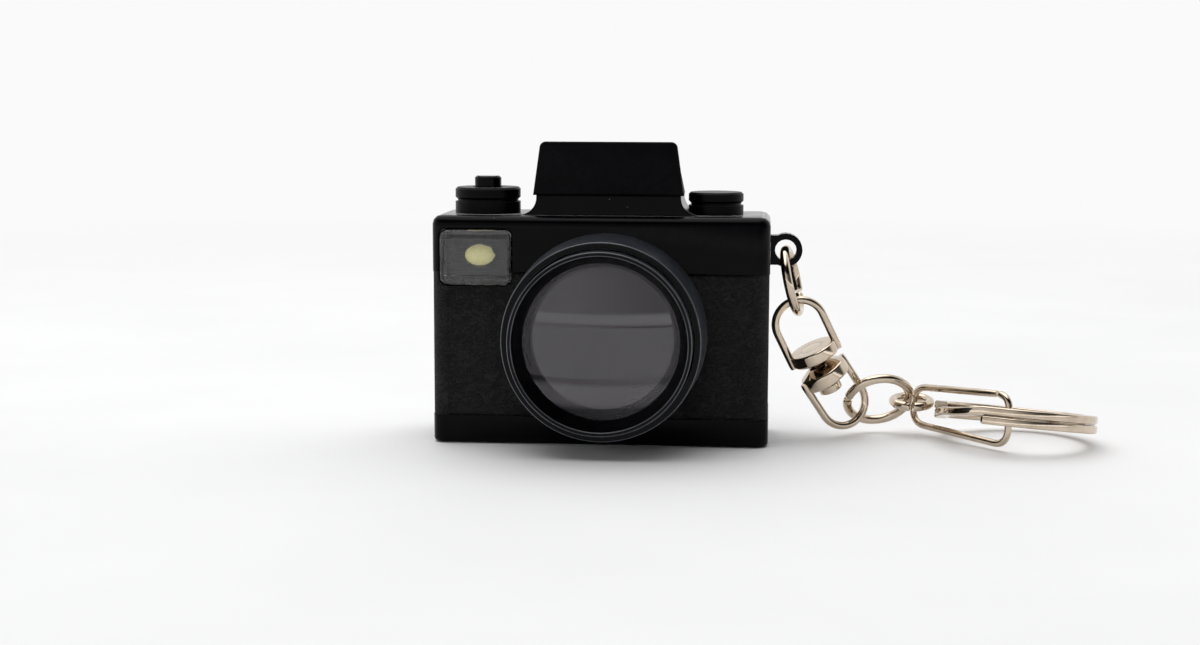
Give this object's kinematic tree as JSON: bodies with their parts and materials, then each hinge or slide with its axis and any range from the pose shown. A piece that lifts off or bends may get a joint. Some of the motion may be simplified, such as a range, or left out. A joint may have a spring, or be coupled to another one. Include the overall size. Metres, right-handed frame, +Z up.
{
  "type": "camera key chain",
  "caption": "Black plastic miniature camera key chain with a flash light, a press button and a plated swivel chain ending in a split key ring.",
  "frame": {"origin": "middle of the camera's flat base, on the surface it stands on", "axes": "+X along the camera's width towards the chain, -Y the way the lens looks, +Z up"},
  "size_m": [0.083, 0.0273, 0.0376],
  "materials": {
    "gloss_black": "glossy moulded black",
    "satin_black": "satin moulded black",
    "leatherette": "fine moulded grain",
    "dark_inside": "dark and smooth",
    "clear": "clear moulded plastic",
    "silvered": "silvered",
    "phosphor": "yellow light cover",
    "board": "green circuit board",
    "nickel": "bright plated",
    "steel": "plain",
    "brass": "plain"
  },
  "bodies": {
    "camera": {"base_plate": "gloss_black", "body_band": "satin_black", "front_leatherette": "leatherette", "rear_leatherette": "leatherette", "top_cover": "gloss_black", "prism_cap": "satin_black", "eyepiece_frame": "satin_black", "eyepiece_pane": "clear", "lens_barrel": "gloss_black", "lens_trim_ring": "gloss_black", "lens_glass": "clear", "lens_cup": "dark_inside", "flash_pane": "clear", "flash_reflector": "silvered", "flash_led": "phosphor", "shutter_dial_base": "gloss_black", "shutter_dial_cap": "gloss_black", "rewind_knob_base": "gloss_black", "rewind_knob_cap": "gloss_black", "circuit_board": "board", "switch_body": "steel", "sound_chip": "satin_black", "piezo_buzzer": "brass", "button_cell_1": "steel", "button_cell_2": "steel", "button_cell_3": "steel", "battery_contact_left": "steel", "battery_contact_right": "steel", "battery_door": "satin_black", "battery_door_screw": "steel", "case_screw_left": "steel", "case_screw_right": "steel", "strap_lug": "gloss_black"},
    "button": {"shutter_button": "gloss_black", "switch_plunger": "satin_black"},
    "lug_ring": {"lug_ring": "nickel"},
    "swivel_upper": {"swivel_upper": "nickel", "swivel_rivet": "nickel"},
    "swivel_lower": {"swivel_lower": "nickel"},
    "joining_ring": {"joining_ring": "nickel"},
    "small_ring": {"small_ring": "nickel"},
    "tapered_link": {"tapered_link": "nickel"},
    "key_ring": {"split_key_ring": "nickel"}
  },
  "joints": [
    {"name": "button_press", "type": "slide", "parent": "camera", "child": "button", "axis": [0, 0, -1], "range_m": [0, 0.0005], "stiffness_N_per_m": 1500},
    {"name": "lug_ring_swing", "type": "hinge", "parent": "camera", "child": "lug_ring", "pos_m": [0.0229, 0, 0.0241], "axis": [0, -1, 0], "range_deg": [0, 80]},
    {"name": "swivel_swing", "type": "hinge", "parent": "lug_ring", "child": "swivel_upper", "pos_m": [0.02466, 0, 0.0163], "axis": [-0.1239, -0.9919, -0.028], "range_deg": [-5, 60]},
    {"name": "swivel_turn", "type": "hinge", "parent": "swivel_upper", "child": "swivel_lower", "pos_m": [0.02484, 0.0003, 0.01469], "axis": [0.43, 0.151, -0.8901], "continuous": true},
    {"name": "joining_ring_swing", "type": "hinge", "parent": "swivel_lower", "child": "joining_ring", "pos_m": [0.03335, 0.0033, 0.00461], "axis": [-0.0564, 0.0491, 0.9972], "range_deg": [-20, 10]},
    {"name": "small_ring_swing", "type": "hinge", "parent": "joining_ring", "child": "small_ring", "pos_m": [0.03882, 0.00418, 0.00417], "axis": [-0.2982, 0.5791, -0.7588], "range_deg": [-60, 60]},
    {"name": "link_swing", "type": "hinge", "parent": "small_ring", "child": "tapered_link", "pos_m": [0.04034, 0.00664, 0.00448], "axis": [-0.9115, 0.4068, 0.0605], "range_deg": [-20, 5]},
    {"name": "key_ring_swing", "type": "hinge", "parent": "tapered_link", "child": "key_ring", "pos_m": [0.04294, 0.00167, 0.00381], "axis": [-0.2068, -0.9659, 0.156], "range_deg": [-60, 80]}
  ]
}
